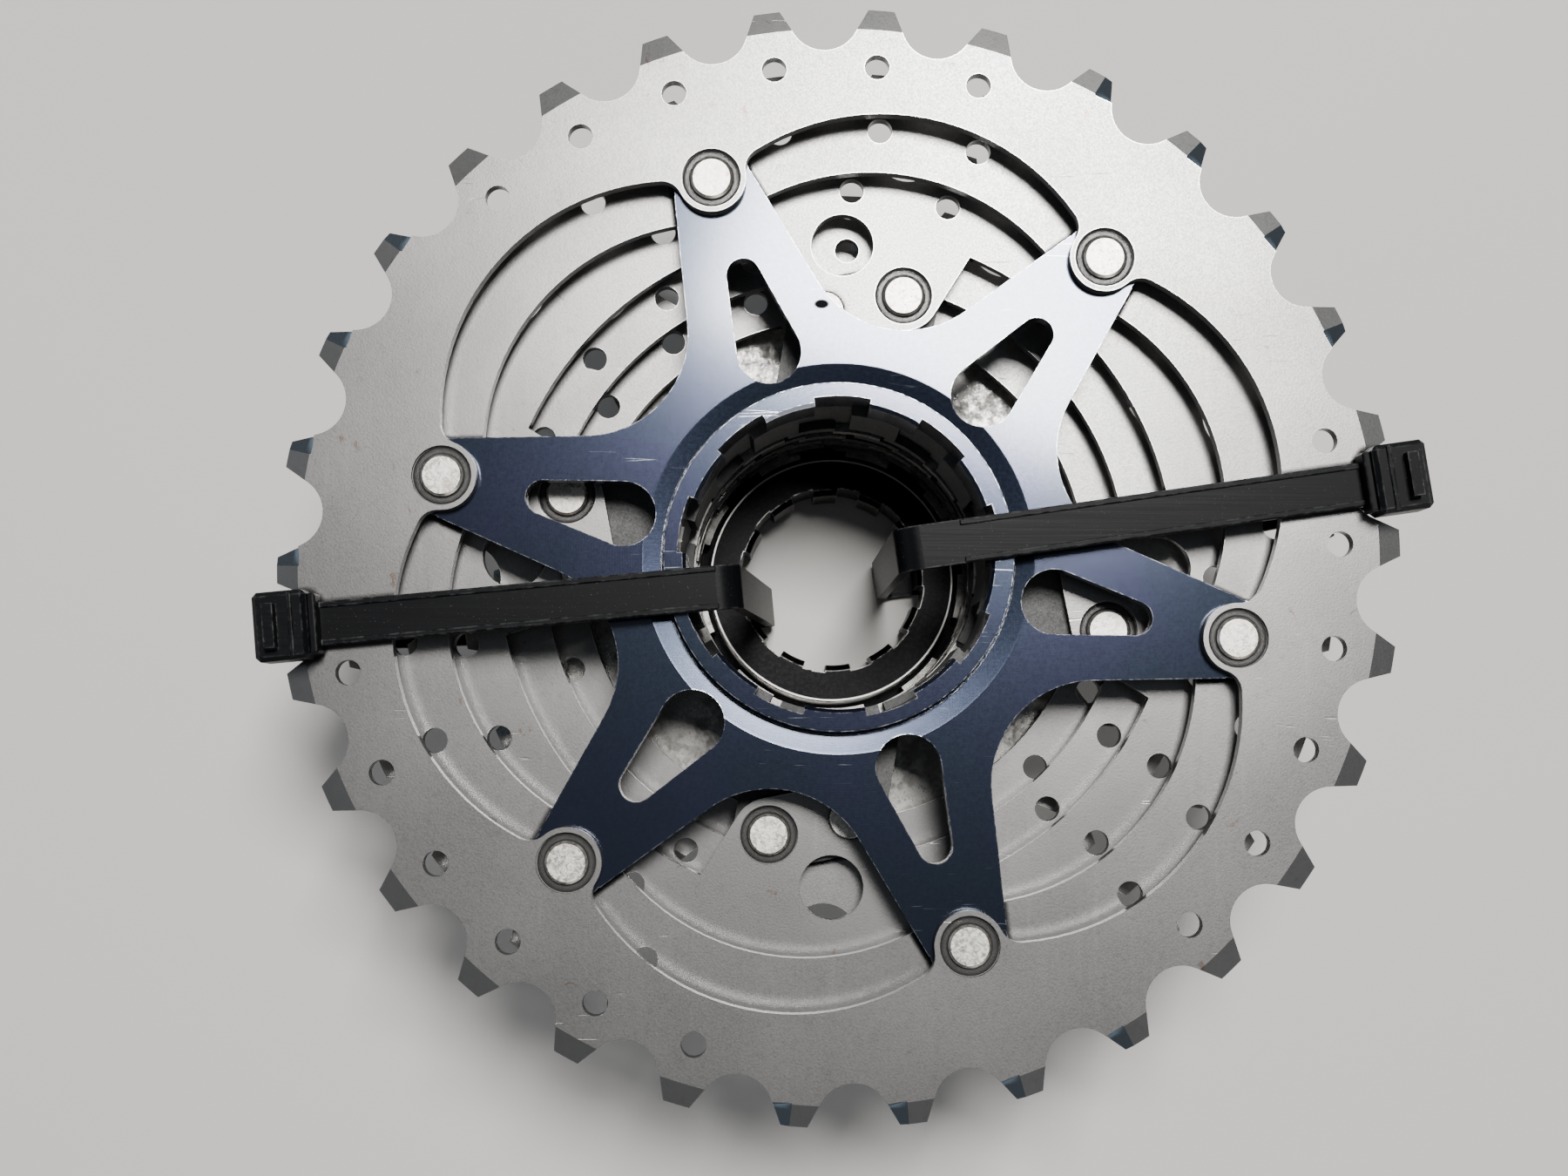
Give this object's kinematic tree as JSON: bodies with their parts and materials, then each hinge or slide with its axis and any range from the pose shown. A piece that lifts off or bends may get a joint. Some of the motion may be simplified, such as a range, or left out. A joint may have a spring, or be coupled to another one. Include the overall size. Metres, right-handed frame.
{
  "type": "cassette sprocket",
  "caption": "Road bicycle cassette: stacked toothed sprockets on a spidered carrier with a splined bore, spacers and a lockring, held together by cable ties.",
  "frame": {"origin": "on the hub axis, in the plane of the spider boss's back face, which seats on the hub", "axes": "+Z along the hub axis, from the small end towards the large sprocket and the wheel"},
  "size_m": [0.1271, 0.1232, 0.0486],
  "materials": {
    "titanium": "matte blasted titanium",
    "anodised_alloy": "satin dark blue anodised",
    "bare_alloy": "blasted bare cast alloy",
    "rivet_steel": "satin silver",
    "plated_steel": "nickel plated",
    "black_spacer": "moulded black",
    "lockring_alloy": "black anodised, bright thread",
    "nylon": "black nylon"
  },
  "bodies": {
    "rear_cluster": {"rear_spider": "anodised_alloy", "sprocket_30t": "titanium", "sprocket_27t": "titanium", "rear_rivets": "rivet_steel", "tie_left": "nylon", "tie_right": "nylon"},
    "middle_cluster": {"mid_carrier": "bare_alloy", "sprocket_24t": "titanium", "sprocket_21t": "titanium", "sprocket_19t": "titanium", "mid_rivets": "rivet_steel", "long_rivets": "rivet_steel", "rivet_collars": "rivet_steel"},
    "spacer_19_17_body": {"spacer_19_17": "black_spacer"},
    "sprocket_17t_body": {"sprocket_17t": "plated_steel"},
    "spacer_17_15_body": {"spacer_17_15": "black_spacer"},
    "sprocket_15t_body": {"sprocket_15t": "plated_steel"},
    "spacer_15_14_body": {"spacer_15_14": "black_spacer"},
    "sprocket_14t_body": {"sprocket_14t": "plated_steel"},
    "sprocket_13t_body": {"sprocket_13t": "plated_steel"},
    "sprocket_12t_body": {"sprocket_12t": "plated_steel"},
    "sprocket_11t_body": {"sprocket_11t": "plated_steel"},
    "lockring_body": {"lockring": "lockring_alloy"}
  },
  "joints": [
    {"name": "middle_cluster_turn", "type": "hinge", "parent": "rear_cluster", "child": "middle_cluster", "pos_m": [0, 0, 0], "axis": [0, 0, 1], "continuous": true},
    {"name": "spacer_19_17_turn", "type": "hinge", "parent": "rear_cluster", "child": "spacer_19_17_body", "pos_m": [0, 0, 0], "axis": [0, 0, 1], "continuous": true},
    {"name": "sprocket_17t_turn", "type": "hinge", "parent": "rear_cluster", "child": "sprocket_17t_body", "pos_m": [0, 0, 0], "axis": [0, 0, 1], "continuous": true},
    {"name": "spacer_17_15_turn", "type": "hinge", "parent": "rear_cluster", "child": "spacer_17_15_body", "pos_m": [0, 0, 0], "axis": [0, 0, 1], "continuous": true},
    {"name": "sprocket_15t_turn", "type": "hinge", "parent": "rear_cluster", "child": "sprocket_15t_body", "pos_m": [0, 0, 0], "axis": [0, 0, 1], "continuous": true},
    {"name": "spacer_15_14_turn", "type": "hinge", "parent": "rear_cluster", "child": "spacer_15_14_body", "pos_m": [0, 0, 0], "axis": [0, 0, 1], "continuous": true},
    {"name": "sprocket_14t_turn", "type": "hinge", "parent": "rear_cluster", "child": "sprocket_14t_body", "pos_m": [0, 0, 0], "axis": [0, 0, 1], "continuous": true},
    {"name": "sprocket_13t_turn", "type": "hinge", "parent": "rear_cluster", "child": "sprocket_13t_body", "pos_m": [0, 0, 0], "axis": [0, 0, 1], "continuous": true},
    {"name": "sprocket_12t_turn", "type": "hinge", "parent": "rear_cluster", "child": "sprocket_12t_body", "pos_m": [0, 0, 0], "axis": [0, 0, 1], "continuous": true},
    {"name": "sprocket_11t_turn", "type": "hinge", "parent": "rear_cluster", "child": "sprocket_11t_body", "pos_m": [0, 0, 0], "axis": [0, 0, 1], "continuous": true},
    {"name": "lockring_turn", "type": "hinge", "parent": "rear_cluster", "child": "lockring_body", "pos_m": [0, 0, 0], "axis": [0, 0, 1], "continuous": true}
  ]
}
